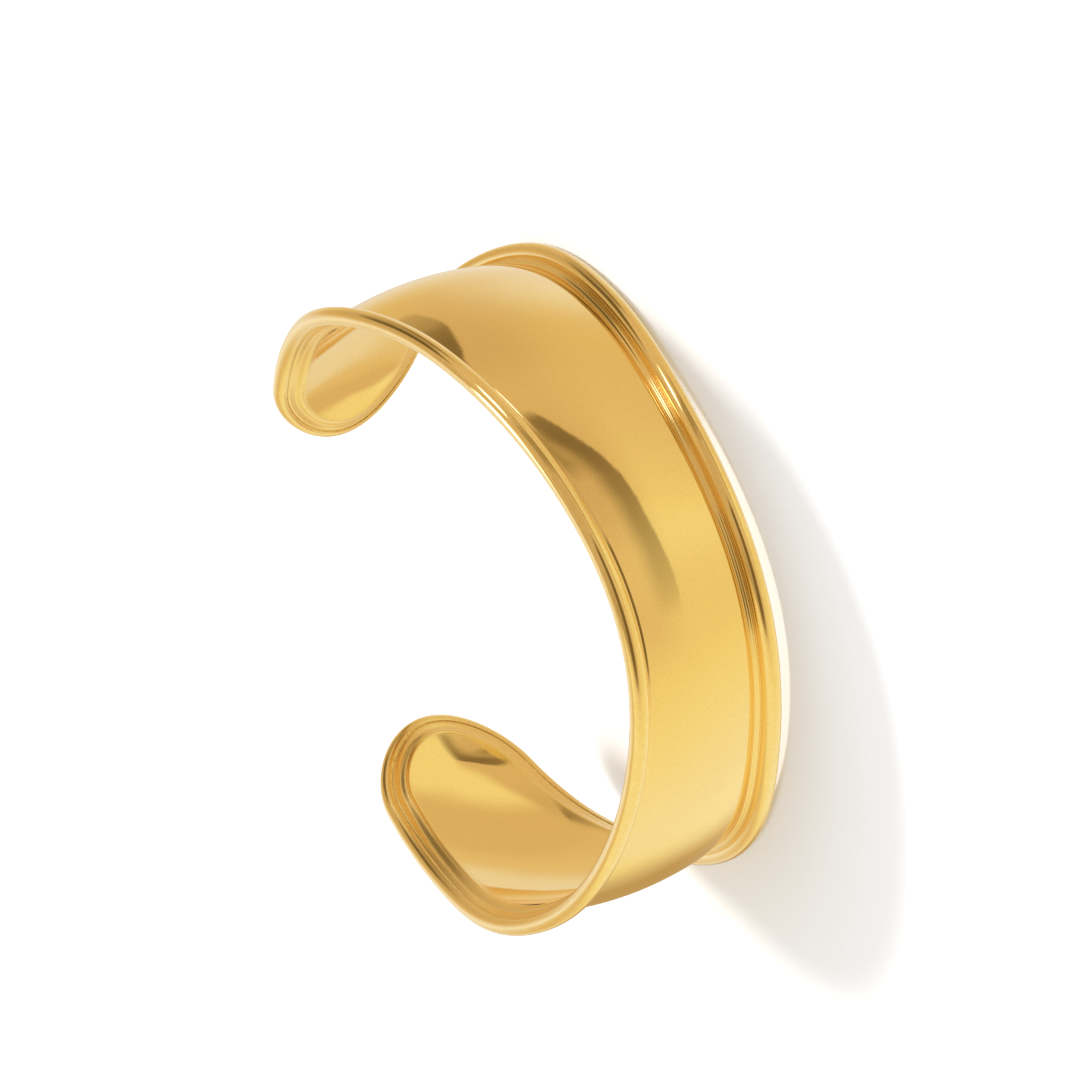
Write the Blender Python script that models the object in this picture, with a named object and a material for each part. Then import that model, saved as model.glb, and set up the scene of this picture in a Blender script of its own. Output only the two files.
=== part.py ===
"""Open cuff bracelet in one piece of plated brass, lying on its side.

The cuff is a lightly crowned band with a round bead all along its edge, which a small step joins to
the band. It is worked out flat first: an outline with a width for each place along the band, and an
edge profile carried round that outline. Then the flat form is bent onto the plan curve of the wrist,
and laid down as it comes to rest.

Frame: +Z up, the opening for the wrist upright, the gap between the tips towards +Y, the broad back
towards -Y. The origin is on the surface that the cuff lies on, under the middle of its bounding box.
Flat places are (along, across): along the band from its back, and across it towards its upper edge.
A height is a distance out from the wrist, counted from the plan curve in the middle of the bead.
"""
import math
from collections import namedtuple

import bmesh
import bpy
import numpy as np
from mathutils import Matrix, Vector

MM = 0.001

# Driving dimensions, in metres
HALF_LENGTH = 76.0 * MM           # back of the band to a tip, along the plan curve
SHOULDER_HALF_WIDTH = 10.2 * MM   # half of the band's width where it is widest
TIP_LENGTH = 7.7 * MM             # length of the rounded end of each tip
PLAN_RADIUS = 30.0 * MM           # mean radius of the plan curve
BEAD_RADIUS = 0.82 * MM           # round bead along the edge
BORDER_INSET = 2.35 * MM          # border of the band's outer face, in from the edge
BORDER_DROP = 0.55 * MM           # the same border, nearer the wrist than the bead's centre
WALL = 0.8 * MM                   # thickness of the band
CROWN_RADIUS = 27.5 * MM          # radius of the band's crown, across the band
REST_FLAT_DEPTH = 0.12 * MM       # depth of the flats stoned where the lower edge rests

# Fineness of the faceted solid
SIDE_STEPS = 27                   # along each side, back to tip
TIP_STEPS = 7                     # round a quarter of each tip
CROWN_STEPS = 4                   # border of the band to its middle
BEAD_STEPS = 11                   # round the bead

# Places along one half, from the back (0) to the tip (1). The half width is a share of
# SHOULDER_HALF_WIDTH, and the bend is a share of the mean bend, 1 / PLAN_RADIUS.
Station = namedtuple("Station", "along half_width bend")
STATIONS = (
    Station(0.0, 0.695, 1.69),
    Station(0.2, 0.75, 0.80),
    Station(0.4, 0.895, 1.02),
    Station(0.6, 1.00, 0.90),
    Station(0.8, 0.82, 1.00),
    Station(1.0, 0.635, 1.64),
)

# The step between the band and the bead, from the border of each face. An inset is a share of
# BORDER_INSET, in from the edge. A height is a share of BORDER_DROP nearer the wrist than the bead's
# centre, and then a share of WALL. A fine line marks where the bead is soldered on, and a groove
# sets off the band.
Row = namedtuple("Row", "inset drop wall")
OUTER_ROWS = (
    Row(1.00, 1.00, 0.00),
    Row(0.97, 1.00, 0.10),
    Row(0.90, 1.00, 0.20),
    Row(0.84, 1.00, 0.12),
    Row(0.79, 0.87, 0.00),
    Row(0.705, 0.76, 0.00),
    Row(0.68, 0.80, 0.07),
)
INNER_ROWS = (
    Row(0.405, 1.00, 0.24),
    Row(0.43, 1.00, 0.36),
    Row(0.64, 1.00, 0.46),
    Row(0.68, 1.00, 0.31),
    Row(0.725, 1.00, 0.66),
    Row(0.765, 1.00, 0.82),
    Row(1.00, 1.00, 1.00),
)
BEAD_START = math.radians(207)    # angle round the bead where the outer step meets it
BEAD_END = math.radians(-95)      # and the inner step

METAL_COLOR = (0.76, 0.50, 0.17, 1.0)
METAL_ROUGHNESS = 0.14
SHARP_ANGLE = math.radians(40)

PLAN_PLACES = 1200                # fine places that the plan curve is summed over
FINEST = 1e-7                     # points closer than this are one
REST_LIMIT = math.radians(10)     # the rest is looked for within this tilt each way
REST_ROUNDS = 40


def through(column, share):
    """Smooth curve through one column of the stations, level at the back."""
    x = np.array([station.along for station in STATIONS])
    y = np.array([getattr(station, column) for station in STATIONS])
    slope = np.gradient(y, x)
    slope[0] = 0.0
    i = np.clip(np.searchsorted(x, share, side="right") - 1, 0, len(x) - 2)
    step = x[i + 1] - x[i]
    t = (share - x[i]) / step
    return ((2 * t**3 - 3 * t**2 + 1) * y[i] + (t**3 - 2 * t**2 + t) * step * slope[i]
            + (3 * t**2 - 2 * t**3) * y[i + 1] + (t**3 - t**2) * step * slope[i + 1])


def plan_curve():
    """Places on the plan curve: distance from the back, x, y and the turn of the tangent."""
    along = np.linspace(0.0, HALF_LENGTH, PLAN_PLACES + 1)
    bend = through("bend", along / HALF_LENGTH) / PLAN_RADIUS
    step = along[1]
    turn = np.concatenate(([0.0], np.cumsum((bend[1:] + bend[:-1]) * step / 2)))
    middle = (turn[1:] + turn[:-1]) / 2
    x = np.concatenate(([0.0], np.cumsum(np.cos(middle) * step)))
    y = np.concatenate(([0.0], np.cumsum(np.sin(middle) * step)))
    return along, x, y, turn


def half_width(along):
    """Half of the band's width at a distance from the back."""
    return SHOULDER_HALF_WIDTH * through("half_width", along / HALF_LENGTH)


def edge_quarter():
    """One quarter of the flat outline, back to tip: (along, across) of the edge and of the spine.

    The side follows the half width, and the tip is a quarter of an ellipse. Each point of the edge
    has a point of the spine, the straight line in the middle where the crown is highest."""
    tip_start = HALF_LENGTH - TIP_LENGTH
    side = np.linspace(0.0, tip_start, SIDE_STEPS + 1)
    angle = np.linspace(0.0, math.pi / 2, TIP_STEPS + 1)[1:]
    along = np.concatenate((side, tip_start + TIP_LENGTH * np.sin(angle)))
    fullness = np.concatenate((np.ones(len(side)), np.cos(angle)))
    across = half_width(along) * fullness
    spine = np.minimum(along, tip_start)
    return np.stack((along, across), axis=1), np.stack((spine, np.zeros(len(spine))), axis=1)


def outline():
    """The closed flat outline and its spine, once round, made of four like quarters."""
    edge, middle = edge_quarter()
    whole_edge = []
    whole_middle = []
    for side_along, side_across, order in ((1, 1, 1), (1, -1, -1), (-1, -1, 1), (-1, 1, -1)):
        flip = np.array((side_along, side_across))
        whole_edge.append((edge * flip)[::order][:-1])
        whole_middle.append((middle * flip)[::order][:-1])
    return np.concatenate(whole_edge), np.concatenate(whole_middle)


def inward(edge):
    """Unit direction into the band at each point of the closed outline."""
    run = np.roll(edge, -1, axis=0) - np.roll(edge, 1, axis=0)
    run /= np.linalg.norm(run, axis=1)[:, None]
    return np.stack((run[:, 1], -run[:, 0]), axis=1)


def edge_profile():
    """(inset from the edge, height) round the edge, from the outer border of the band to the inner."""
    angles = np.linspace(BEAD_START, BEAD_END, BEAD_STEPS + 1)
    bead = [(BEAD_RADIUS * (1 - math.cos(angle)), BEAD_RADIUS * math.sin(angle)) for angle in angles]
    outer, inner = [[(BORDER_INSET * row.inset, -BORDER_DROP * row.drop - WALL * row.wall)
                     for row in rows] for rows in (OUTER_ROWS, INNER_ROWS)]
    return outer + bead + inner


def bend_to_plan(flat, height):
    """Flat places bent onto the plan curve, each moved out from it along its normal."""
    along, x, y, turn = plan_curve()
    distance = np.abs(flat[..., 0])
    side = np.where(flat[..., 0] < 0, -1.0, 1.0)
    angle = np.interp(distance, along, turn)
    place_x = np.interp(distance, along, x) + height * np.sin(angle)
    place_y = np.interp(distance, along, y) - height * np.cos(angle)
    return np.stack((side * place_x, place_y, flat[..., 1]), axis=-1)


def ribs():
    """Points of the cuff: a rib at each place on the outline, from the outer spine to the inner."""
    edge, middle = outline()
    into = inward(edge)
    border = edge + into * BORDER_INSET
    reach = half_width(np.abs(middle[:, 0])) - BORDER_INSET
    crown = reach**2 / (2 * CROWN_RADIUS)
    shares = np.arange(1, CROWN_STEPS + 1) / CROWN_STEPS
    across = [border + (middle - border) * share for share in shares]
    raised = [crown * (1 - (1 - share)**2) - BORDER_DROP for share in shares]
    profile = edge_profile()
    rows = across[::-1] + [edge + into * inset for inset, _ in profile] + across
    heights = (raised[::-1] + [np.full(len(edge), height) for _, height in profile]
               + [row - WALL for row in raised])
    return bend_to_plan(np.stack(rows, axis=1), np.stack(heights, axis=1))


def skin(points):
    """Closed mesh over the ribs, joined along the spine."""
    body = bmesh.new()
    count, depth = points.shape[:2]
    verts = [[body.verts.new(point) for point in rib] for rib in points]
    for i in range(count):
        one, two = verts[i], verts[(i + 1) % count]
        for j in range(depth - 1):
            body.faces.new((one[j], two[j], two[j + 1], one[j + 1]))
    bmesh.ops.remove_doubles(body, verts=body.verts, dist=FINEST)
    bmesh.ops.recalc_face_normals(body, faces=body.faces)
    return body


def centre_of_mass(body):
    """Centre of the solid, from the tetrahedra that its triangles make with the origin."""
    whole = 0.0
    centre = Vector((0, 0, 0))
    for one, two, three in body.calc_loop_triangles():
        a, b, c = one.vert.co, two.vert.co, three.vert.co
        volume = a.dot(b.cross(c)) / 6
        whole += volume
        centre += (a + b + c) * volume / 4
    return centre / whole


def rest_tilt(body):
    """Turn about X at which the centre of mass stands lowest above the surface."""
    centre = np.array(centre_of_mass(body))[1:]
    places = np.array([vert.co for vert in body.verts])[:, 1:]

    def height(tilt):
        up = np.array((math.sin(tilt), math.cos(tilt)))
        return centre @ up - (places @ up).min()

    low, high = -REST_LIMIT, REST_LIMIT
    for _ in range(REST_ROUNDS):
        third = (high - low) / 3
        if height(low + third) < height(high - third):
            high -= third
        else:
            low += third
    return (low + high) / 2


def lay_down(body):
    """Turn the cuff to its rest, stone the flats it rests on, and put them level with the origin."""
    tilt = Matrix.Rotation(rest_tilt(body), 3, "X")
    bmesh.ops.rotate(body, verts=body.verts, cent=(0, 0, 0), matrix=tilt)
    places = np.array([vert.co for vert in body.verts])
    level = places[:, 2].min() + REST_FLAT_DEPTH
    everything = body.verts[:] + body.edges[:] + body.faces[:]
    bmesh.ops.bisect_plane(body, geom=everything, dist=FINEST, plane_co=(0, 0, level),
                           plane_no=(0, 0, -1), clear_outer=True)
    rims = [edge for edge in body.edges if edge.is_boundary]
    bmesh.ops.holes_fill(body, edges=rims, sides=0)
    middle = (places.max(axis=0) + places.min(axis=0)) / 2
    bmesh.ops.translate(body, verts=body.verts, vec=(-middle[0], -middle[1], -level))
    bmesh.ops.recalc_face_normals(body, faces=body.faces)


def plated_brass():
    """Polished yellow plating."""
    material = bpy.data.materials.new("gold_plated_brass")
    material.use_nodes = True
    shader = material.node_tree.nodes["Principled BSDF"]
    shader.inputs["Base Color"].default_value = METAL_COLOR
    shader.inputs["Metallic"].default_value = 1.0
    shader.inputs["Roughness"].default_value = METAL_ROUGHNESS
    return material


def cuff(collection):
    """The one piece: band, step, bead and tips in one solid."""
    body = skin(ribs())
    lay_down(body)
    mesh = bpy.data.meshes.new("cuff")
    body.to_mesh(mesh)
    body.free()
    mesh.materials.append(plated_brass())
    mesh.shade_smooth()
    mesh.set_sharp_from_angle(angle=SHARP_ANGLE)
    piece = bpy.data.objects.new("cuff", mesh)
    collection.objects.link(piece)
    return piece


def main():
    for thing in list(bpy.data.objects):
        bpy.data.objects.remove(thing, do_unlink=True)
    collection = bpy.data.collections.new("cuff_bracelet")
    bpy.context.scene.collection.children.link(collection)
    cuff(collection)


main()
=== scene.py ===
# %% [markdown]
# # An open cuff bracelet in polished gold plate
# The cuff is one piece of brass sheet: a lightly crowned band with a round bead soldered all along its
# edge, bent to an oval and plated with gold. It lies on its side on a pale table. This lesson works the
# whole surface out with numpy on one grid, gives it a plated and polished metal, and lights it softly.
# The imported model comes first, because it sets the frame: metres, +Z up, the table at height 0, the gap
# between the tips towards +Y.

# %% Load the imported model
import math
from functools import partial

import bmesh
import bpy
import numpy as np
from mathutils import Matrix, Quaternion, Vector


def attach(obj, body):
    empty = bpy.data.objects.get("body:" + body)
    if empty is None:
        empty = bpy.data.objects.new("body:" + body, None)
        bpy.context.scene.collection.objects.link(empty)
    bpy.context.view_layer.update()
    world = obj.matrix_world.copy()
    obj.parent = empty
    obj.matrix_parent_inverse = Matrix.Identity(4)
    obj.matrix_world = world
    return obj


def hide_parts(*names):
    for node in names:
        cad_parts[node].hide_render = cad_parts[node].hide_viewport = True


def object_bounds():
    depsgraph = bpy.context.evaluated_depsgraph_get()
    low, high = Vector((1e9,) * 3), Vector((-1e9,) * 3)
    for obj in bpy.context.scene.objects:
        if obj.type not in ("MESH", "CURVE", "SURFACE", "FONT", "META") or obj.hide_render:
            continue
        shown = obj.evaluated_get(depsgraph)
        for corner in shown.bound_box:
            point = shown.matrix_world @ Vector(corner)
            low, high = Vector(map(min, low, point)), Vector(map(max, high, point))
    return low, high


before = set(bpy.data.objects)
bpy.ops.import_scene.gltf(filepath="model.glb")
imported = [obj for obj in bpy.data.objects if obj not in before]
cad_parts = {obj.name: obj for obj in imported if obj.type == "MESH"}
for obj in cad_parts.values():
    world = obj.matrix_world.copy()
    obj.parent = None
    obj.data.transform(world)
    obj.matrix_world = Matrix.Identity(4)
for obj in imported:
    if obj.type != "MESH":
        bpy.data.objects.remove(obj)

MM = 0.001
cad_box = [list(corner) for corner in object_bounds()]
print("CAD box, mm:", [[round(value / MM, 2) for value in corner] for corner in cad_box])

# %% [markdown]
# ## The form of the cuff
# A goldsmith cuts the flat outline from sheet, planishes a crown into it, solders a bead round the edge
# and bends the strip over an oval mandrel. The script takes the same steps. It could instead copy the
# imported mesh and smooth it, but a smoothed copy keeps its facets in every reflection, and polished metal
# shows them. So the same formulas are worked out again here on a much finer grid.

# %% Sizes of the cuff, as in the part's source
HALF_LENGTH = 76.0 * MM
SHOULDER_HALF_WIDTH = 10.2 * MM
TIP_LENGTH = 7.7 * MM
PLAN_RADIUS = 30.0 * MM
BEAD_RADIUS = 0.82 * MM
BORDER_INSET = 2.35 * MM
BORDER_DROP = 0.55 * MM
WALL = 0.8 * MM
CROWN_RADIUS = 27.5 * MM

# The widths and the bends were fitted to the photo by another program, and rounded.
PLACES = np.array((0.0, 0.2, 0.4, 0.6, 0.8, 1.0))            # shares of HALF_LENGTH, back to tip
WIDTHS = np.array((0.695, 0.75, 0.895, 1.00, 0.82, 0.635))   # shares of SHOULDER_HALF_WIDTH
BENDS = np.array((1.69, 0.80, 1.02, 0.90, 1.00, 1.64))       # shares of 1 / PLAN_RADIUS

SIDE_STEPS = 112      # grid lines along a side, back to tip
TIP_STEPS = 32        # round a quarter of each tip
CROWN_STEPS = 24      # border of the band to its middle
BEAD_STEPS = 44       # round the bead
print("plan radius, mm:", round(PLAN_RADIUS / MM, 1), "places along half the cuff:", len(PLACES))


# %% Curves through the places
def through(shares, place):
    """A smooth curve: between two places it is the cubic that has their values and slopes. Each slope
    is the mean of the slopes on both sides, and it is level at the back."""
    slope = np.gradient(shares, PLACES)
    slope[0] = 0.0
    i = np.clip(np.searchsorted(PLACES, place, side="right") - 1, 0, len(PLACES) - 2)
    step = PLACES[i + 1] - PLACES[i]
    t = (place - PLACES[i]) / step
    return ((2 * t**3 - 3 * t**2 + 1) * shares[i] + (t**3 - 2 * t**2 + t) * step * slope[i]
            + (3 * t**2 - 2 * t**3) * shares[i + 1] + (t**3 - t**2) * step * slope[i + 1])


def half_width(along):
    """Half of the band's width at a distance from the back."""
    return SHOULDER_HALF_WIDTH * through(WIDTHS, along / HALF_LENGTH)


def plan_curve(count=4000):
    """The oval seen from above: the turn of the curve is the sum of its bend along the way, and x and y
    are the sums of the cosine and the sine of the turn."""
    along = np.linspace(0.0, HALF_LENGTH, count + 1)
    bend = through(BENDS, along / HALF_LENGTH) / PLAN_RADIUS
    step = along[1]
    turn = np.concatenate(([0.0], np.cumsum((bend[1:] + bend[:-1]) * step / 2)))
    middle = (turn[1:] + turn[:-1]) / 2
    x = np.concatenate(([0.0], np.cumsum(np.cos(middle) * step)))
    y = np.concatenate(([0.0], np.cumsum(np.sin(middle) * step)))
    return along, x, y, turn


along, x, y, turn = plan_curve()
print("plan curve, mm: half width", round(x.max() / MM, 2), "depth", round(y.max() / MM, 2))

# %% [markdown]
# ## The flat outline and the crown
# The outline is four like quarters: a side as wide as the band, then a quarter of an ellipse for the
# tip. Every point of it has a point on the spine, the middle line where the crown is highest. Near the
# tip the spine slows down and stops, so that the grid lines fan out there instead of meeting in one
# point, which would pucker the polish.

# %% One quarter of the outline, and all four
SPINE_EASE = 14.0 * MM     # stretch before the tip in which the spine slows to a stop


def eased(along, end, stretch):
    """Equal to along until the last stretch before end, then slowing evenly: the lag grows as the square
    of the way into that stretch, over twice its length."""
    into = np.clip(along - (end - stretch), 0.0, stretch)
    return np.minimum(along, end - stretch) + into - into**2 / (2 * stretch)


def edge_quarter():
    """(along, across) of the edge and of the spine, back to tip."""
    tip_start = HALF_LENGTH - TIP_LENGTH
    side = np.linspace(0.0, tip_start, SIDE_STEPS + 1)
    angle = np.linspace(0.0, math.pi / 2, TIP_STEPS + 1)[1:]
    along = np.concatenate((side, tip_start + TIP_LENGTH * np.sin(angle)))
    fullness = np.concatenate((np.ones(len(side)), np.cos(angle)))
    across = half_width(along) * fullness
    spine = eased(along, HALF_LENGTH, SPINE_EASE)
    return np.stack((along, across), axis=1), np.stack((spine, np.zeros(len(spine))), axis=1)


def outline():
    """The closed outline and its spine, once round: the quarter mirrored four ways, in turn."""
    edge, middle = edge_quarter()
    flips = ((1, 1, 1), (1, -1, -1), (-1, -1, 1), (-1, 1, -1))
    whole = [[(line * (side_x, side_y))[::order][:-1] for side_x, side_y, order in flips]
             for line in (edge, middle)]
    return np.concatenate(whole[0]), np.concatenate(whole[1])


edge, middle = outline()
print("grid lines round the outline:", len(edge))


# %% The section through the edge
def step_line(rows):
    """Rows of (inset, drop, wall) shares as (inset, height) in metres, as in the part's source, with
    the grooves a little shallower and softer, as the wheel leaves them."""
    inset, drop, wall = np.array(rows).T
    return np.stack((BORDER_INSET * inset, -BORDER_DROP * drop - WALL * wall), axis=1)


OUTER_STEP = step_line((
    (1.00, 1.00, 0.00), (0.96, 1.00, 0.08), (0.90, 1.00, 0.15), (0.84, 0.99, 0.10),
    (0.78, 0.87, 0.00), (0.705, 0.77, 0.00), (0.68, 0.80, 0.05),
))
INNER_STEP = step_line((
    (0.405, 1.00, 0.24), (0.44, 1.00, 0.36), (0.60, 1.00, 0.45), (0.68, 1.00, 0.47),
    (0.76, 1.00, 0.66), (0.84, 1.00, 0.87), (1.00, 1.00, 1.00),
))
BEAD_START, BEAD_END = math.radians(207), math.radians(-95)


def bead_line():
    """(inset, height) round the bead: inset r(1 - cos a), height r sin a."""
    angle = np.linspace(BEAD_START, BEAD_END, BEAD_STEPS + 1)
    return np.stack((BEAD_RADIUS * (1 - np.cos(angle)), BEAD_RADIUS * np.sin(angle)), axis=1)


bead = bead_line()
print("bead, mm: top", round(bead[:, 1].max() / MM, 2), "underside", round(bead[:, 1].min() / MM, 2))

# %% [markdown]
# ## Bending and laying down
# A flat place and a height become a place in space by bending: the distance from the back is walked
# along the plan curve, and the height is stepped off along the curve's normal. Then the cuff is turned
# to the tilt at which it rests on its two sides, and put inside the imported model's box. What would
# reach below the table is levelled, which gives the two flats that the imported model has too.

# %% Sections all round the outline
FIRST_SHARE = 0.03     # share of the way to the spine at the first row of the crown
GATHER = 1.4           # how closely the crown's rows gather near the border


def rounded(rows, times=2):
    """Corners cut off times over, as a file takes them off: each side of the line is replaced by its
    points at a quarter and at three quarters, and the two ends stay."""
    for _ in range(times):
        near = rows[:, :-1] * 0.75 + rows[:, 1:] * 0.25
        far = rows[:, :-1] * 0.25 + rows[:, 1:] * 0.75
        cut = np.stack((near, far), axis=2).reshape(len(rows), -1, rows.shape[2])
        rows = np.concatenate((rows[:, :1], cut, rows[:, -1:]), axis=1)
    return rows


def section_rows():
    """Lists of rows (along, across, height), outline round by section across: crown, outer step, bead,
    inner step, inner crown. The crown rises from the border as 1 - (1 - s) squared, where s is the
    share of the way to the spine; rows lie closer near the border."""
    run = np.roll(edge, -1, axis=0) - np.roll(edge, 1, axis=0)
    run /= np.linalg.norm(run, axis=1)[:, None]
    into = np.stack((run[:, 1], -run[:, 0]), axis=1)
    border = edge + into * BORDER_INSET
    spine_end = HALF_LENGTH - SPINE_EASE / 2
    level = eased(np.abs(middle[:, 0]), spine_end, SPINE_EASE / 2)
    crown = (half_width(level) - BORDER_INSET)**2 / (2 * CROWN_RADIUS)
    share = FIRST_SHARE + (1 - FIRST_SHARE) * (np.arange(CROWN_STEPS) / (CROWN_STEPS - 1))**GATHER
    across = border[:, None] + (middle - border)[:, None] * share[:, None]
    raised = crown[:, None] * (1 - (1 - share)**2) - BORDER_DROP

    def rim(line):
        flat = edge[:, None] + into[:, None] * line[:, :1]
        height = np.broadcast_to(line[:, 1], flat.shape[:2])
        return np.concatenate((flat, height[..., None]), axis=2)

    outer = np.concatenate((across, raised[..., None]), axis=2)[:, ::-1]
    inner = np.concatenate((across, raised[..., None] - WALL), axis=2)
    round_bead = rim(bead)
    outer_step = rounded(np.concatenate((outer[:, -1:], rim(OUTER_STEP), round_bead[:, :1]), axis=1))
    inner_step = rounded(np.concatenate((round_bead[:, -1:], rim(INNER_STEP), inner[:, :1]), axis=1))
    return [outer[:, :-1], outer_step, round_bead[:, 1:-1], inner_step, inner[:, 1:]]


rows = section_rows()
row_counts = [part.shape[1] for part in rows]
print("rows: crown, step, bead, step, crown:", row_counts, "ribs:", len(edge))

# %% Bent and laid on its side
REST_TILT = math.radians(4.6956)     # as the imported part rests


def bend_to_plan(place):
    """x and y are those of the plan curve at the distance from the back, moved out by the height along
    the normal (sine of the turn, minus its cosine). z is the distance across the band."""
    distance = np.abs(place[..., 0])
    side = np.where(place[..., 0] < 0, -1.0, 1.0)
    angle = np.interp(distance, along, turn)
    place_x = np.interp(distance, along, x) + place[..., 2] * np.sin(angle)
    place_y = np.interp(distance, along, y) - place[..., 2] * np.cos(angle)
    return np.stack((side * place_x, place_y, place[..., 1]), axis=-1)


def laid_down(points):
    """Turned about X by the rest tilt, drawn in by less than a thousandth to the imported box, whose
    facets lie just inside the true curve, put in its middle, and levelled at the table."""
    turned = points @ np.array(Matrix.Rotation(REST_TILT, 3, "X")).T
    low, high = turned.min(axis=(0, 1)), turned.max(axis=(0, 1))
    room = np.array(cad_box[1]) - np.array(cad_box[0])
    fit = min(1.0, (room / (high - low))[:2].min())
    shift = -(low + high) / 2 * fit
    shift[2] = cad_box[1][2] - high[2] * fit
    placed = turned * fit + shift
    print("drawn in by", round(1 - fit, 6), "levelled depth, mm:", round(-placed[..., 2].min() / MM, 3))
    placed[..., 2] = np.maximum(placed[..., 2], 0.0)
    return placed


grid = laid_down(bend_to_plan(np.concatenate(rows, axis=1)))
print("grid:", grid.shape, "size, mm:", np.round((grid.max(axis=(0, 1)) - grid.min(axis=(0, 1))) / MM, 2))

# %% From grid to mesh
FINEST = 1e-7     # points closer than this, in metres, are one


def ways(points):
    """Distances walked over the surface in metres: once round along the bead, and across the section.
    The buffing lines follow them."""
    closed = np.concatenate((points, points[:1]))
    rim = closed[:, closed.shape[1] // 2]
    round_way = np.concatenate(([0.0], np.cumsum(np.linalg.norm(np.diff(rim, axis=0), axis=1))))
    steps = np.linalg.norm(np.diff(points, axis=1), axis=2).mean(axis=0)
    return round_way, np.concatenate(([0.0], np.cumsum(steps)))


def mesh_from_grid(name, points, marks):
    """Quads between neighbours on the grid, closed round the outline, with a UV map in metres and one
    number per point for each mark. The two sides then meet along the spine, where points are joined."""
    count, depth = points.shape[:2]
    i, j = np.meshgrid(np.arange(count), np.arange(depth - 1), indexing="ij")
    i, j = i.ravel(), j.ravel()
    after = (i + 1) % count
    quads = np.stack((i * depth + j, after * depth + j, after * depth + j + 1, i * depth + j + 1), axis=1)
    mesh = bpy.data.meshes.new(name)
    mesh.vertices.add(count * depth)
    mesh.vertices.foreach_set("co", points.reshape(-1))
    mesh.loops.add(quads.size)
    mesh.loops.foreach_set("vertex_index", quads.ravel())
    mesh.polygons.add(len(quads))
    mesh.polygons.foreach_set("loop_start", np.arange(0, quads.size, 4))
    mesh.polygons.foreach_set("loop_total", np.full(len(quads), 4))
    mesh.update(calc_edges=True)
    round_way, across_way = ways(points)
    uv = np.stack((round_way[np.stack((i, i + 1, i + 1, i), axis=1)],
                   across_way[np.stack((j, j, j + 1, j + 1), axis=1)]), axis=2)
    mesh.uv_layers.new(name="polish").data.foreach_set("uv", uv.ravel())
    for mark, values in marks.items():
        layer = mesh.attributes.new(mark, "FLOAT", "POINT")
        layer.data.foreach_set("value", np.broadcast_to(values, (count, depth)).ravel().astype(np.float32))
    shape = bmesh.new()
    shape.from_mesh(mesh)
    bmesh.ops.remove_doubles(shape, verts=shape.verts, dist=FINEST)
    bmesh.ops.recalc_face_normals(shape, faces=shape.faces)
    shape.to_mesh(mesh)
    shape.free()
    mesh.shade_smooth()
    return mesh


print("way round the bead, mm:", round(ways(grid)[0][-1] / MM, 1))

# %% Marks of solder, wear and satin
OUTER_SEAM, INNER_SEAM = 0.07 * MM, 0.13 * MM     # reach of the solder beside the bead
OUTER_SOLDER = 0.6                                # how much of it the wheel leaves on the outside
BORDER_ROW = 4                                    # row of the outer step on the band's border
BORDER_RUB = 0.3 * MM                             # reach of the wear there
SATIN_RISE = (1.3 * MM, 1.1 * MM)                 # start before the inner seam, and length
SATIN_FALL = (0.6 * MM, 0.9 * MM)                 # end past the inner step, and length


def rim_marks():
    """Numbers along the section. Seam is 1 in the solder line on the inner side of the bead, less on the
    outer side, and falls to 0 over its reach. Crest is 1 on top of the bead and on the band's border,
    which hands and tables rub first. Inside is 1 from the bead's underside to the band on the inner
    side, where the wheel hardly reaches."""
    across_way = ways(grid)[1]
    ends = np.cumsum(row_counts)
    first, last = across_way[ends[1] - 1], across_way[ends[2]]

    def near(place, reach):
        return np.clip(1 - np.abs(across_way - place) / reach, 0, 1)

    on_bead = np.clip((across_way - first) / (last - first), 0, 1)
    border = across_way[ends[0] + BORDER_ROW]
    inside = np.clip((across_way - last + SATIN_RISE[0]) / SATIN_RISE[1], 0, 1)
    inside *= np.clip((across_way[ends[3] - 1] + SATIN_FALL[0] - across_way) / SATIN_FALL[1], 0, 1)
    return {"seam": np.maximum(near(first, OUTER_SEAM) * OUTER_SOLDER, near(last, INNER_SEAM)),
            "crest": np.maximum(np.sin(on_bead * math.pi), near(border, BORDER_RUB)),
            "inside": inside}


marks = rim_marks()
print("rows with a mark:", {name: int((values > 0).sum()) for name, values in marks.items()})

# %% The cuff as a piece
cuff = bpy.data.objects.new("gold_cuff", mesh_from_grid("gold_cuff", grid, marks))
bpy.context.scene.collection.objects.link(cuff)
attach(cuff, "root")
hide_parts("cuff")
print("cuff triangles:", sum(len(face.vertices) - 2 for face in cuff.data.polygons))

# %% [markdown]
# ## The metal
# Gold plate over polished brass is bare metal: it has no colour of its own but what it gives to the
# reflections, so it needs the full metallic shader, a warm colour and a low roughness. Real polish is
# not perfect. A buffing wheel leaves very fine lines along the piece and a slow unevenness that bends
# reflections a little, and the solder lines keep small bright grains. These come from noise at the real
# sizes, in millimetres. A picture of scratches would be simpler, but it would repeat and blur.


# %% Colours and nodes
def linear(code):
    """An sRGB hex colour as linear red, green, blue and 1: the lower part of the curve is a straight
    line over 12.92, the rest a power of 2.4."""
    values = [int(code[i:i + 2], 16) / 255 for i in (1, 3, 5)]
    return [v / 12.92 if v <= 0.04045 else ((v + 0.055) / 1.055)**2.4 for v in values] + [1.0]


def plug(tree, node, inputs):
    """Sets a node's inputs. An input is a number, a colour, an output to link, or a node, of which the
    first output in use is linked."""
    for key, value in inputs.items():
        if isinstance(value, bpy.types.Node):
            value = next(output for output in value.outputs if output.enabled)
        if isinstance(value, bpy.types.NodeSocket):
            tree.links.new(value, node.inputs[key])
        else:
            node.inputs[key].default_value = value


def add(tree, kind, inputs=None, **settings):
    """A shader node with its settings and inputs."""
    node = tree.nodes.new("ShaderNode" + kind)
    for name, value in settings.items():
        setattr(node, name, value)
    plug(tree, node, inputs or {})
    return node


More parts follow.
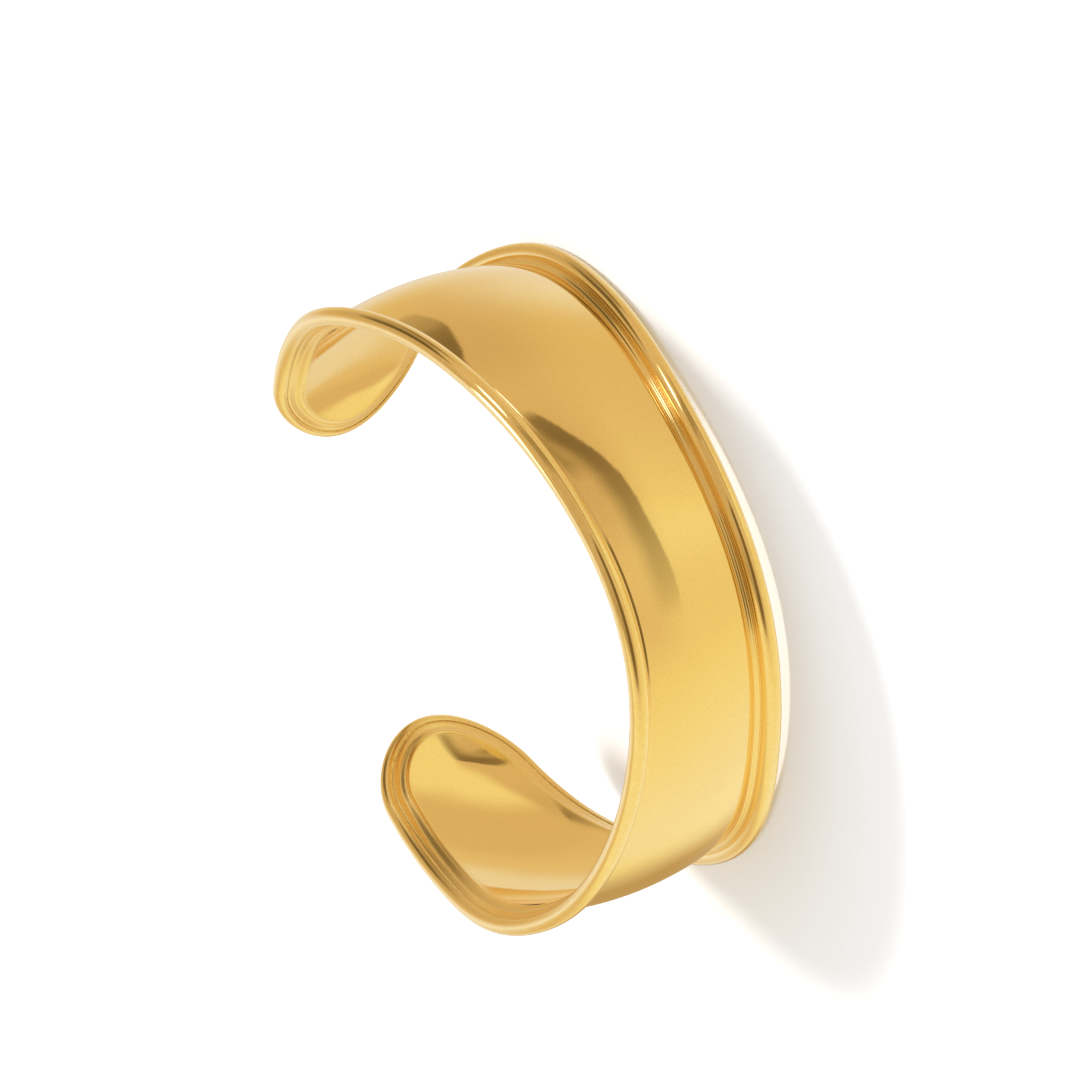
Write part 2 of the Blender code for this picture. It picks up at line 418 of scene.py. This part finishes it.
def per_mm(size):
    """Noise scale for features of a size in millimetres, on coordinates in metres."""
    return 1.0 / (size * MM)


print("white, linear:", linear("#FFFFFF"))

# %% Gold electroplate on buffed brass
# To the eye this is a deep warm mirror: crisp reflections that swim a little, under a faint grain. Wheel
# lines on real jewellery are a few microns apart. They are drawn about ten times coarser, near the size
# of one point of the picture, so that they still give the faint grain of a hand-buffed face.
# The seam colour below is partly the solder's own brown and oxide, partly painted shade in the crease beside
# the bead.
PLATE = {"cool": "#FDE1A2", "warm": "#FFE7AE", "dull": "#F7DDA4", "rubbed": "#FFEDC0",
         "solder_and_shade": "#B98A45"}
DRIFT_SIZE, MOTTLE_SIZE, GRAIN_SIZE, LINE_SIZE = 11.0, 0.5, 0.14, 0.11     # mm
LINE_STRETCH = 0.03                     # noise scale along the wheel's way for 1 across it
POLISH = (0.03, 0.05)                   # roughness of the mirror
LINE_ROUGHNESS, CREST_ROUGHNESS, SATIN_ROUGHNESS = 0.02, 0.02, 0.2     # added to it
WAVE_HEIGHT, PEEL_HEIGHT = 0.06 * MM, 0.0009 * MM
LINE_HEIGHT, SOLDER_HEIGHT = 0.0004 * MM, 0.026 * MM


def gold_plate():
    """A mirror polish with a slow wave, buffing lines, a faint orange-peel grain and grainy seams."""
    material = bpy.data.materials.new("gold_electroplate_buffed")
    material.use_nodes = True
    tree = material.node_tree
    node = partial(add, tree)
    place = node("TexCoord").outputs["Object"]
    seam, crest, inside = (node("Attribute", attribute_name=mark).outputs["Fac"]
                           for mark in ("seam", "crest", "inside"))
    drift = node("TexNoise", {"Vector": place, "Scale": per_mm(DRIFT_SIZE)})
    mottle = node("TexNoise", {"Vector": place, "Scale": per_mm(MOTTLE_SIZE), "Detail": 3.0,
                               "Roughness": 0.6})
    grains = node("TexNoise", {"Vector": place, "Scale": per_mm(GRAIN_SIZE), "Detail": 1.0})
    wheel_way = node("Mapping", {"Vector": node("UVMap", uv_map="polish"), "Scale": (LINE_STRETCH, 1.0, 1.0)})
    lines = node("TexNoise", {"Vector": wheel_way, "Scale": per_mm(LINE_SIZE), "Detail": 1.0})

    # Colour: the plate's tone drifts slowly and dulls in grains; the crests are rubbed pale in spots,
    # and the seams show browner, partly the solder's own colour and oxide, partly painted shade in the
    # crease.
    plated = node("Mix", {0: drift, 6: linear(PLATE["cool"]), 7: linear(PLATE["warm"])},
                  data_type="RGBA")
    dulled = node("MapRange", {"Value": grains, "From Min": 0.3, "From Max": 0.7})
    gold = node("Mix", {0: dulled, 6: plated, 7: linear(PLATE["dull"])}, data_type="RGBA")
    spots = node("MapRange", {"Value": mottle, "From Min": 0.45, "From Max": 0.7, "To Max": 0.5})
    handled = node("Math", {0: crest, 1: spots}, operation="MULTIPLY")
    rubbed = node("Mix", {0: handled, 6: gold, 7: linear(PLATE["rubbed"])}, data_type="RGBA")
    # Painted shade with the solder's brown: the seams darken in the crease beside the bead.
    solder_and_shade = node("Math", {0: seam, 1: 0.5}, operation="MULTIPLY")
    colour = node("Mix", {0: solder_and_shade, 6: rubbed, 7: linear(PLATE["solder_and_shade"])}, data_type="RGBA")

    # Roughness: near a mirror, a little more in the wheel lines and on the crests, and satin inside.
    mirror = node("MapRange", {"Value": mottle, "From Min": 0.3, "From Max": 0.7,
                               "To Min": POLISH[0], "To Max": POLISH[1]})
    lined = node("MapRange", {"Value": lines, "From Min": 0.35, "From Max": 0.75,
                              "To Max": LINE_ROUGHNESS})
    buffed = node("Math", {0: mirror, 1: lined}, operation="ADD")
    worn = node("Math", {0: crest, 1: CREST_ROUGHNESS, 2: buffed}, operation="MULTIPLY_ADD")
    clear_of_seam = node("MapRange", {"Value": seam, "From Max": 0.5, "To Min": 1.0, "To Max": 0.0})
    by_hand = node("Math", {0: inside, 1: clear_of_seam}, operation="MULTIPLY")
    roughness = node("Math", {0: by_hand, 1: SATIN_ROUGHNESS, 2: worn}, operation="MULTIPLY_ADD")

    # Relief, coarse to fine, each on top of the one before; the last one only in the seams.
    wave = node("Bump", {"Height": drift, "Distance": WAVE_HEIGHT, "Strength": 1.0})
    peel = node("Bump", {"Height": mottle, "Distance": PEEL_HEIGHT, "Strength": 1.0, "Normal": wave})
    lines_cut = node("Bump", {"Height": lines, "Distance": LINE_HEIGHT, "Strength": 1.0, "Normal": peel})
    beads = node("MapRange", {"Value": grains, "From Min": 0.45, "From Max": 0.65})
    seam_beads = node("Math", {0: beads, 1: seam}, operation="MULTIPLY")
    relief = node("Bump", {"Height": seam_beads, "Distance": SOLDER_HEIGHT, "Strength": 1.0,
                           "Normal": lines_cut})
    plug(tree, tree.nodes["Principled BSDF"],
         {"Base Color": colour, "Metallic": 1.0, "Roughness": roughness, "Normal": relief})
    return material


cuff.data.materials.append(gold_plate())
print("gold plate nodes:", len(cuff.active_material.node_tree.nodes))

# %% [markdown]
# ## The table
# A sheet of white paper under the piece catches the soft shadows. It is left out of the reflections,
# because the studio that the metal mirrors, table and all, is painted by direction in the next step.


# %% White paper
# Matt paper spreads the light evenly, so it looks the same from all sides and its shadows stay pale.
def paper():
    """Uncoated white paper: matt, with a slow unevenness and a fine felt grain."""
    material = bpy.data.materials.new("white_paper_uncoated")
    material.use_nodes = True
    tree = material.node_tree
    place = add(tree, "TexCoord").outputs["Object"]
    felt = add(tree, "TexNoise", {"Vector": place, "Scale": per_mm(0.7), "Detail": 3.0})
    shade = add(tree, "Mix", {0: felt, 6: linear("#FDFDFD"), 7: linear("#FFFFFF")}, data_type="RGBA")
    plug(tree, tree.nodes["Principled BSDF"],
         {"Base Color": shade, "Roughness": 0.9, "Specular IOR Level": 0.0})
    return material


def table(size=8.0):
    """A flat square at height 0."""
    half = size / 2
    mesh = bpy.data.meshes.new("paper_table")
    corners = ((-half, -half, 0), (half, -half, 0), (half, half, 0), (-half, half, 0))
    mesh.from_pydata(corners, [], [(0, 1, 2, 3)])
    mesh.materials.append(paper())
    flat = bpy.data.objects.new("paper_table", mesh)
    bpy.context.scene.collection.objects.link(flat)
    flat.visible_glossy = False
    return flat


sheet = table()
print("table, m:", tuple(round(value, 2) for value in sheet.dimensions))

# %% [markdown]
# ## The studio that the metal mirrors
# Polished metal is a picture of its surroundings. A jeweller's photographer stands pale boards round the
# piece, with a few dark cards and strip lights in front of them, and the bands of light and brown on the
# gold are those. Building each as an object would work too, but it would also shade the table. So they
# are painted on the sky by direction: azimuth in degrees from +Y towards +X, elevation above the table.
# Their colours and edges were not invented. They follow measurements of what the metal in the photo
# mirrors in each direction, made by another program and rounded to a few boards.

# %% Boards of card, and how they stand in rings
BOARDS = {
    "bright": "#F9F5EC", "white": "#EFE8DB", "linen": "#EDE3CB", "ivory": "#F8F3D4", "cream": "#F8EFC2",
    "straw": "#F5E8AF", "wheat": "#F0DFA4", "sand": "#E4CD9A", "tan": "#DDC290", "camel": "#D5B989",
    "brown": "#CEB485", "umber": "#B9A072", "copper": "#BF9E65", "bark": "#AA9265", "coffee": "#86714B",
    "black": "#79653F", "soot": "#72603C", "lamp": "#FFFFFB",
}

# Azimuths at which a ring has a board's colour. It changes smoothly between two of them.
TABLE_ROUND = (     # elevation -34: the table and the feet of the boards
    (0, "white"), (28, "white"), (46, "linen"), (64, "sand"), (104, "sand"), (135, "wheat"),
    (151, "straw"), (175, "wheat"), (208, "wheat"), (232, "straw"), (258, "cream"), (282, "ivory"),
    (303, "ivory"), (319, "sand"), (336, "linen"), (360, "white"),
)
BOARD_ROUND = (     # elevation -12: the middle of the boards
    (0, "white"), (24, "sand"), (42, "tan"), (76, "camel"), (98, "tan"), (131, "camel"), (160, "sand"),
    (198, "sand"), (221, "wheat"), (240, "straw"), (262, "cream"), (288, "ivory"), (304, "straw"),
    (326, "white"), (360, "white"),
)
ROOM_ROUND = (      # elevation 14 and up: the tops of the boards and the room
    (0, "white"), (15, "tan"), (32, "brown"), (60, "brown"), (90, "tan"), (120, "brown"),
    (155, "brown"), (205, "umber"), (222, "sand"), (240, "straw"), (270, "cream"), (292, "straw"),
    (308, "sand"), (322, "sand"), (338, "linen"), (352, "bright"), (360, "white"),
)
# Elevations over which one ring becomes the next, and the last one plain brown overhead.
RING_CHANGES = ((-34, -12), (-10, 14), (72, 84))
print("places in the rings:", len(TABLE_ROUND), len(BOARD_ROUND), len(ROOM_ROUND))

# %% Cards in front of the boards
# Board, brightness, softness of the lower and the upper edge in degrees, and rows of azimuth, lower
# edge, upper edge and how much of the card shows there. An azimuth past 360 goes on round.
CARDS = {
    "hooked black card": ("coffee", 1.0, 0.5, 4.0, (
        (103, -9, -3, 0.0), (107, -12, -5, 0.9), (113, -16, -8, 1.0), (119, -21, -13, 0.96),
        (126, -24, -16.5, 0.86), (135, -26, -18.5, 0.77), (146, -27, -19, 0.66), (158, -28, -20, 0.56),
        (171, -28.5, -20, 0.43), (184, -28.5, -20, 0.25), (196, -28, -20, 0.0))),
    "post of the hooked card": ("bark", 1.0, 3.0, 5.0, (
        (110, -7, 28, 0.0), (114, -9, 30, 1.0), (121, -13, 30, 1.0), (127, -13, 28, 0.0))),
    "dark card on the right": ("coffee", 1.0, 0.4, 2.0, (
        (40, -11, -6, 0.0), (44, -11.5, -4, 0.35), (54, -11.5, -1, 0.55), (59, -11, 0, 0.85),
        (66, -9.5, 2, 1.0), (73, -8, 3, 1.0), (78, -6, 3, 1.0), (86, 0, 3, 0.0))),
    "brown card above it": ("bark", 1.0, 2.0, 2.0, (
        (40, 6, 20, 0.0), (48, 3, 24, 0.8), (60, 3, 26, 1.0), (74, 3, 26, 0.9), (80, 6, 26, 0.0))),
    "black card above both": ("soot", 1.0, 2.0, 2.0, (
        (38, 16, 30, 0.0), (46, 17, 35, 0.9), (58, 18, 40, 1.0), (70, 20, 41, 1.0), (77, 24, 40, 0.8),
        (84, 28, 38, 0.0))),
    "dark room behind the camera": ("black", 1.0, 1.5, 2.5, (
        (146, 8, 28, 0.0), (154, 10, 36, 0.95), (180, 11, 40, 1.0), (206, 12, 42, 1.0),
        (215, 16, 42, 0.8), (223, 20, 38, 0.0))),
    "copper card on the left": ("copper", 1.0, 6.0, 4.0, (
        (296, -22, -15, 0.0), (308, -26, -12, 0.5), (319, -28, -11, 0.95), (332, -28, -11, 1.0),
        (344, -26, -11, 0.95), (354, -23, -13, 0.45), (370, -20, -16, 0.0))),
    "upright strip light": ("lamp", 3.0, 2.5, 2.5, (
        (95, 26, 36, 0.0), (98, 24, 39, 1.0), (106, 23, 39, 1.0), (109, 26, 36, 0.0))),
    "overhead strip light": ("lamp", 3.4, 1.0, 1.0, (
        (354, 61, 64, 0.0), (361, 61, 66, 1.0), (370, 63, 69, 1.0), (385, 66, 72, 1.0),
        (402, 67, 73, 1.0), (415, 68, 73, 1.0), (422, 69, 72, 0.0))),
}


def paint(ramp, blending, stops):
    """Gives a colour ramp its stops, each a place from 0 to 1 and a colour."""
    ramp.interpolation = blending
    while len(ramp.elements) < len(stops):
        ramp.elements.new(0.5)
    for element, (place, _) in zip(ramp.elements, stops):
        element.position = place
    for element, (_, colour) in zip(ramp.elements, stops):
        element.color = colour


print("cards:", ", ".join(CARDS))

# %% The studio as a world
STUDIO_BRIGHTNESS = 1.03
SKY_LIGHT = (0.92, 0.92, 0.92, 1.0)     # what lights the table
BACKDROP = (1.0, 1.0, 1.0, 1.0)         # what the camera sees past the table


def studio():
    """Glossy rays see the painted boards and cards, the camera sees white, and all else gets an even
    white sky that lights the table. Round is the azimuth as a share of a full turn, up is the way from
    straight down, 0, to straight up, 1: the arcsine of z over half a turn, plus a half."""
    world = bpy.data.worlds.new("photo_studio")
    world.use_nodes = True
    tree = world.node_tree
    node = partial(add, tree)
    way = node("SeparateXYZ", {0: node("TexCoord").outputs["Generated"]}).outputs
    turned = node("Math", {0: way["X"], 1: way["Y"]}, operation="ARCTAN2")
    turns = node("Math", {0: turned, 1: 0.5 / math.pi}, operation="MULTIPLY")
    round_share = node("Math", {0: turns, 1: 1.0, 2: 0.0}, operation="WRAP")
    rise = node("Math", {0: way["Z"]}, operation="ARCSINE")
    up = node("Math", {0: rise, 1: 1 / math.pi, 2: 0.5}, operation="MULTIPLY_ADD")

    rings = []
    for stops in (TABLE_ROUND, BOARD_ROUND, ROOM_ROUND):
        rings.append(node("ValToRGB", {0: round_share}))
        paint(rings[-1].color_ramp, "CARDINAL", [(at / 360, linear(BOARDS[name])) for at, name in stops])
    seen = rings[0]
    for upper, (start, end) in zip((*rings[1:], linear(BOARDS["brown"])), RING_CHANGES):
        share = node("MapRange", {"Value": up, "From Min": start / 180 + 0.5, "From Max": end / 180 + 0.5},
                     interpolation_type="SMOOTHSTEP")
        seen = node("Mix", {0: share, 6: seen, 7: upper}, data_type="RGBA")

    for board, brightness, soft_low, soft_up, rows in CARDS.values():
        start, span = rows[0][0], rows[-1][0] - rows[0][0]
        colour = [value * brightness for value in linear(BOARDS[board])[:3]] + [1.0]
        past_start = node("Math", {0: round_share, 1: start / 360}, operation="SUBTRACT")
        wrapped = node("Math", {0: past_start, 1: 1.0, 2: 0.0}, operation="WRAP")
        along_card = node("Math", {0: wrapped, 1: 360 / span}, operation="MULTIPLY")
        card = node("ValToRGB", {0: along_card})
        stops = [((at - start) / span, (low / 180 + 0.5, high / 180 + 0.5, amount, 1))
                 for at, low, high, amount in rows]
        paint(card.color_ramp, "LINEAR", stops)
        held = node("SeparateColor", {0: card}).outputs
        over = node("Math", {0: up, 1: held[0]}, operation="SUBTRACT")
        under = node("Math", {0: held[1], 1: up}, operation="SUBTRACT")
        above = node("MapRange", {"Value": over, "From Min": -soft_low / 180, "From Max": soft_low / 180},
                     interpolation_type="SMOOTHSTEP")
        below = node("MapRange", {"Value": under, "From Min": -soft_up / 180, "From Max": soft_up / 180},
                     interpolation_type="SMOOTHSTEP")
        between = node("Math", {0: above, 1: below}, operation="MULTIPLY")
        amount = node("Math", {0: between, 1: held[2]}, operation="MULTIPLY")
        seen = node("Mix", {0: amount, 6: seen, 7: colour}, data_type="RGBA")

    rays = node("LightPath").outputs
    sky = node("Mix", {0: rays["Is Glossy Ray"], 6: SKY_LIGHT, 7: seen}, data_type="RGBA")
    shown = node("Mix", {0: rays["Is Camera Ray"], 6: sky, 7: BACKDROP}, data_type="RGBA")
    plug(tree, tree.nodes["Background"], {"Color": shown, "Strength": STUDIO_BRIGHTNESS})
    return world


bpy.context.scene.world = studio()
print("studio nodes:", len(bpy.context.scene.world.node_tree.nodes))

# %% [markdown]
# ## A painted reflection inside the cuff
# The tips lean over the table and mirror the patch of it between them, which the band never sees. There
# a sheet glows in the tones of that patch in the cuff's shade, from straw and tan to linen: a painted
# reflection. Only the metal sees it, so the table stays plain, and it fades out towards its edge, as a
# card out of focus does.

# %% Painted reflection between the tips
CARD_MIDDLE = (-4.0 * MM, 25.0 * MM)
CARD_REACH = (20.0 * MM, 22.0 * MM)      # half its width and half its depth, where it has faded out
CARD_MARGIN = 1.0 * MM
CARD_HEIGHT = 0.02 * MM                  # above the table
FADE_START = 0.7                         # share of the reach
TONE_SLANT = -0.3                        # weight of x beside y in the way that the tones run
TONE_START, TONE_END = 10.0 * MM, 44.0 * MM
# Tones of the painted reflection: the table between the tips as it lies in shade.
REFLECTED_SHADE_TONES = ((0.0, "straw"), (0.28, "straw"), (0.42, "tan"), (0.57, "tan"), (0.66, "sand"),
              (0.76, "linen"), (1.0, "linen"))


def painted_reflection():
    """A sheet that glows in tones from straw to tan and linen, which follow y + slant x: a painted reflection
    of the table in shade between the tips. It fades out as the length of (x - middle x) / reach x,
    (y - middle y) / reach y goes from the fade's start to 1."""
    material = bpy.data.materials.new("painted_table_reflection")
    material.use_nodes = True
    tree = material.node_tree
    tree.nodes.remove(tree.nodes["Principled BSDF"])
    node = partial(add, tree)
    place = node("TexCoord").outputs["Object"]
    axes = node("SeparateXYZ", {0: place}).outputs
    slant = node("Math", {0: axes["X"], 1: TONE_SLANT, 2: axes["Y"]}, operation="MULTIPLY_ADD")
    tone_place = node("MapRange", {"Value": slant, "From Min": TONE_START, "From Max": TONE_END})
    tones = node("ValToRGB", {0: tone_place})
    paint(tones.color_ramp, "EASE", [(at, linear(BOARDS[name])) for at, name in REFLECTED_SHADE_TONES])
    # Painted reflection: the sheet glows in these tones, and only glossy rays see it.
    lit = node("Emission", {"Color": tones, "Strength": STUDIO_BRIGHTNESS})
    start = [-middle / reach for middle, reach in zip(CARD_MIDDLE, CARD_REACH)]
    scale = [1 / reach for reach in CARD_REACH]
    from_middle = node("Mapping", {"Vector": place, "Location": (*start, 0), "Scale": (*scale, 0)})
    distance = node("VectorMath", {0: from_middle}, operation="LENGTH").outputs["Value"]
    gone = node("MapRange", {"Value": distance, "From Min": FADE_START, "From Max": 1.0},
                interpolation_type="SMOOTHSTEP")
    faded = node("MixShader", {0: gone, 1: lit, 2: node("BsdfTransparent")})
    plug(tree, tree.nodes["Material Output"], {"Surface": faded})
    return material


def table_card():
    """A flat sheet just above the table, hidden from all but glossy rays."""
    half_x, half_y = (reach + CARD_MARGIN for reach in CARD_REACH)
    corners = [(CARD_MIDDLE[0] + side_x * half_x, CARD_MIDDLE[1] + side_y * half_y, CARD_HEIGHT)
               for side_x, side_y in ((-1, -1), (1, -1), (1, 1), (-1, 1))]
    mesh = bpy.data.meshes.new("glowing_sheet_between_tips")
    mesh.from_pydata(corners, [], [(0, 1, 2, 3)])
    mesh.materials.append(painted_reflection())
    card = bpy.data.objects.new("glowing_sheet_between_tips", mesh)
    bpy.context.scene.collection.objects.link(card)
    for rays in ("camera", "diffuse", "transmission", "volume_scatter", "shadow"):
        setattr(card, "visible_" + rays, False)
    return card


between_tips = table_card()
print("card, mm:", [round(value / MM) for value in between_tips.dimensions[:2]])

# %% [markdown]
# ## The light that casts the shadow
# One wide soft light stands low behind the piece and throws the pale shadows on the paper towards the
# viewer. It is kept out of the reflections, where the painted strip light stands for it.

# %% A soft light and its shadow
LIGHT_AZIMUTH, LIGHT_ELEVATION = 25.0, 37.0     # degrees
LIGHT_SPREAD = 13.0                             # degrees across, which softens the shadow's edge
LIGHT_STRENGTH = 2.1


def from_degrees(azimuth, elevation):
    """The direction of an azimuth from +Y towards +X and an elevation, as a unit vector."""
    a, e = math.radians(azimuth), math.radians(elevation)
    return Vector((math.sin(a) * math.cos(e), math.cos(a) * math.cos(e), math.sin(e)))


def soft_light():
    """A distant light, spread over an angle as a wide window is."""
    lamp = bpy.data.lights.new("soft_window", "SUN")
    lamp.angle = math.radians(LIGHT_SPREAD)
    lamp.energy = LIGHT_STRENGTH
    light = bpy.data.objects.new("soft_window", lamp)
    way_to_light = from_degrees(LIGHT_AZIMUTH, LIGHT_ELEVATION)
    light.rotation_euler = way_to_light.to_track_quat("Z", "Y").to_euler()
    light.visible_glossy = False
    bpy.context.scene.collection.objects.link(light)


soft_light()
shadow_length = cad_box[1][2] / math.tan(math.radians(LIGHT_ELEVATION))
print("shadow of the cuff, mm long:", round(shadow_length / MM, 1))

# %% [markdown]
# ## The camera
# A long lens from well away keeps the sides of the cuff parallel. The camera is turned on its side, so
# that the cuff stands upright in the picture while it lies on the table. Its place, angles and lens were
# fitted to the photo, and rounded.

# %% Camera
AIM = (3.31 * MM, 3.35 * MM, 6.86 * MM)                      # the point at the middle of the picture
CAMERA_DISTANCE = 663.6 * MM
CAMERA_AZIMUTH, CAMERA_ELEVATION, CAMERA_ROLL = 169.12, 21.22, -108.82     # degrees
LENS, SENSOR = 258.25, 36.0                                  # as a camera has them, in mm
NEAREST, FARTHEST = 0.01, 50.0                               # metres that the camera sees


def camera():
    """Its place is the aim plus the distance along the way back from the aim. It is first turned level,
    then rolled about its own axis."""
    lens = bpy.data.cameras.new("long_lens")
    lens.lens, lens.sensor_width = LENS, SENSOR
    lens.clip_start, lens.clip_end = NEAREST, FARTHEST
    back = from_degrees(CAMERA_AZIMUTH, CAMERA_ELEVATION)
    turned = back.to_track_quat("Z", "Y") @ Quaternion((0.0, 0.0, 1.0), math.radians(CAMERA_ROLL))
    place = Vector(AIM) + back * CAMERA_DISTANCE
    eye = bpy.data.objects.new("long_lens", lens)
    eye.matrix_world = Matrix.Translation(place) @ turned.to_matrix().to_4x4()
    bpy.context.scene.collection.objects.link(eye)
    return eye


bpy.context.scene.camera = camera()
bpy.context.scene.view_settings.view_transform = "Standard"
print("camera above the table, mm:", round(bpy.context.scene.camera.matrix_world.translation.z / MM))
